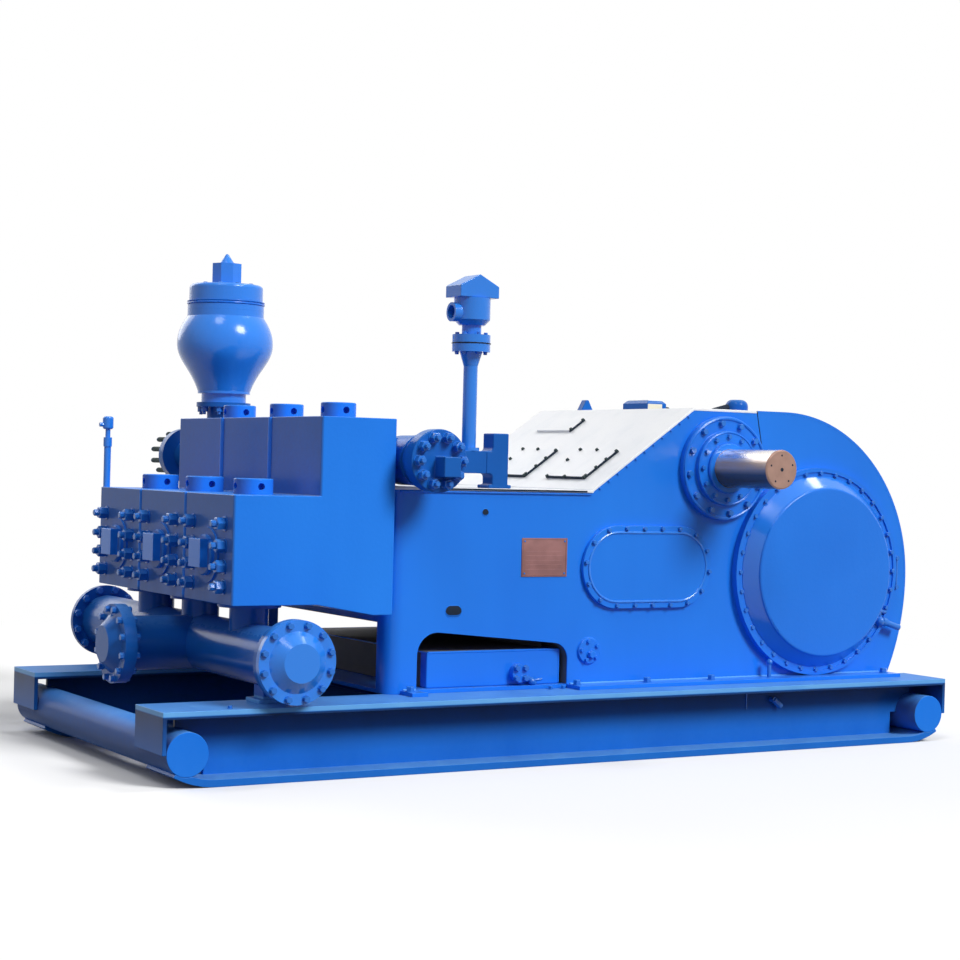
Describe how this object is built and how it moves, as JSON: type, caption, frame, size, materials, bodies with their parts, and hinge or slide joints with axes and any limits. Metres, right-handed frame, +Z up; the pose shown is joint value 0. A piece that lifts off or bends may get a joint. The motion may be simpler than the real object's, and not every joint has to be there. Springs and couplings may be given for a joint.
{
  "type": "triplex mud pump",
  "caption": "Skid-mounted triplex mud pump with a stepped fluid end, suction and discharge manifolds, pulsation dampener and a driven pinion shaft.",
  "frame": {"origin": "middle of the pump's footprint, level with the underside of the skid", "axes": "+X from the fluid end to the gear case, +Y to the discharge outlet, +Z up"},
  "size_m": [4.6, 3.51, 2.63],
  "materials": {
    "blue_paint": "gloss",
    "pale_paint": "gloss",
    "bare_steel": "turned"
  },
  "bodies": {
    "pump": {"breather": "blue_paint", "crank_cover_far": "blue_paint", "crank_cover_near": "blue_paint", "crosshead_door_far": "blue_paint", "crosshead_door_near": "blue_paint", "cylinder_plug_far": "blue_paint", "cylinder_plug_middle": "blue_paint", "cylinder_plug_near": "blue_paint", "dampener_body": "blue_paint", "dampener_cap": "blue_paint", "dampener_lid": "blue_paint", "deck_cover_middle": "pale_paint", "deck_cover_near": "pale_paint", "deck_cover_upper": "pale_paint", "discharge_cross": "blue_paint", "discharge_end_flange": "blue_paint", "discharge_manifold": "blue_paint", "discharge_valve_cover_far": "blue_paint", "discharge_valve_cover_middle": "blue_paint", "discharge_valve_cover_near": "blue_paint", "fluid_end_plate": "blue_paint", "fluid_module_far": "blue_paint", "fluid_module_middle": "blue_paint", "fluid_module_near": "blue_paint", "front_deck": "pale_paint", "gauge_pole": "blue_paint", "lifting_lug": "blue_paint", "manifold_bracket": "blue_paint", "manifold_pedestals": "blue_paint", "pinion_cover_far": "blue_paint", "pinion_cover_near": "blue_paint", "power_frame": "blue_paint", "rear_hood": "blue_paint", "relief_elbow": "blue_paint", "relief_housing": "blue_paint", "relief_riser": "blue_paint", "relief_valve": "blue_paint", "skid_beam_far": "blue_paint", "skid_beam_near": "blue_paint", "skid_cross_beams": "blue_paint", "skid_pipe_front": "blue_paint", "skid_pipe_rear": "blue_paint", "sloped_deck": "pale_paint", "suction_cap_front": "blue_paint", "suction_cap_near": "blue_paint", "suction_manifold": "blue_paint", "suction_valve_cover_far": "blue_paint", "suction_valve_cover_middle": "blue_paint", "suction_valve_cover_near": "blue_paint", "top_hatch": "blue_paint", "wash_tank": "blue_paint", "wash_tank_cover": "blue_paint"},
    "pinion": {"pinion_shaft": "bare_steel"}
  },
  "joints": [
    {"name": "pinion_spin", "type": "hinge", "parent": "pump", "child": "pinion", "pos_m": [0.928, -0.515, 1.468], "axis": [0, 1, 0], "continuous": true}
  ]
}
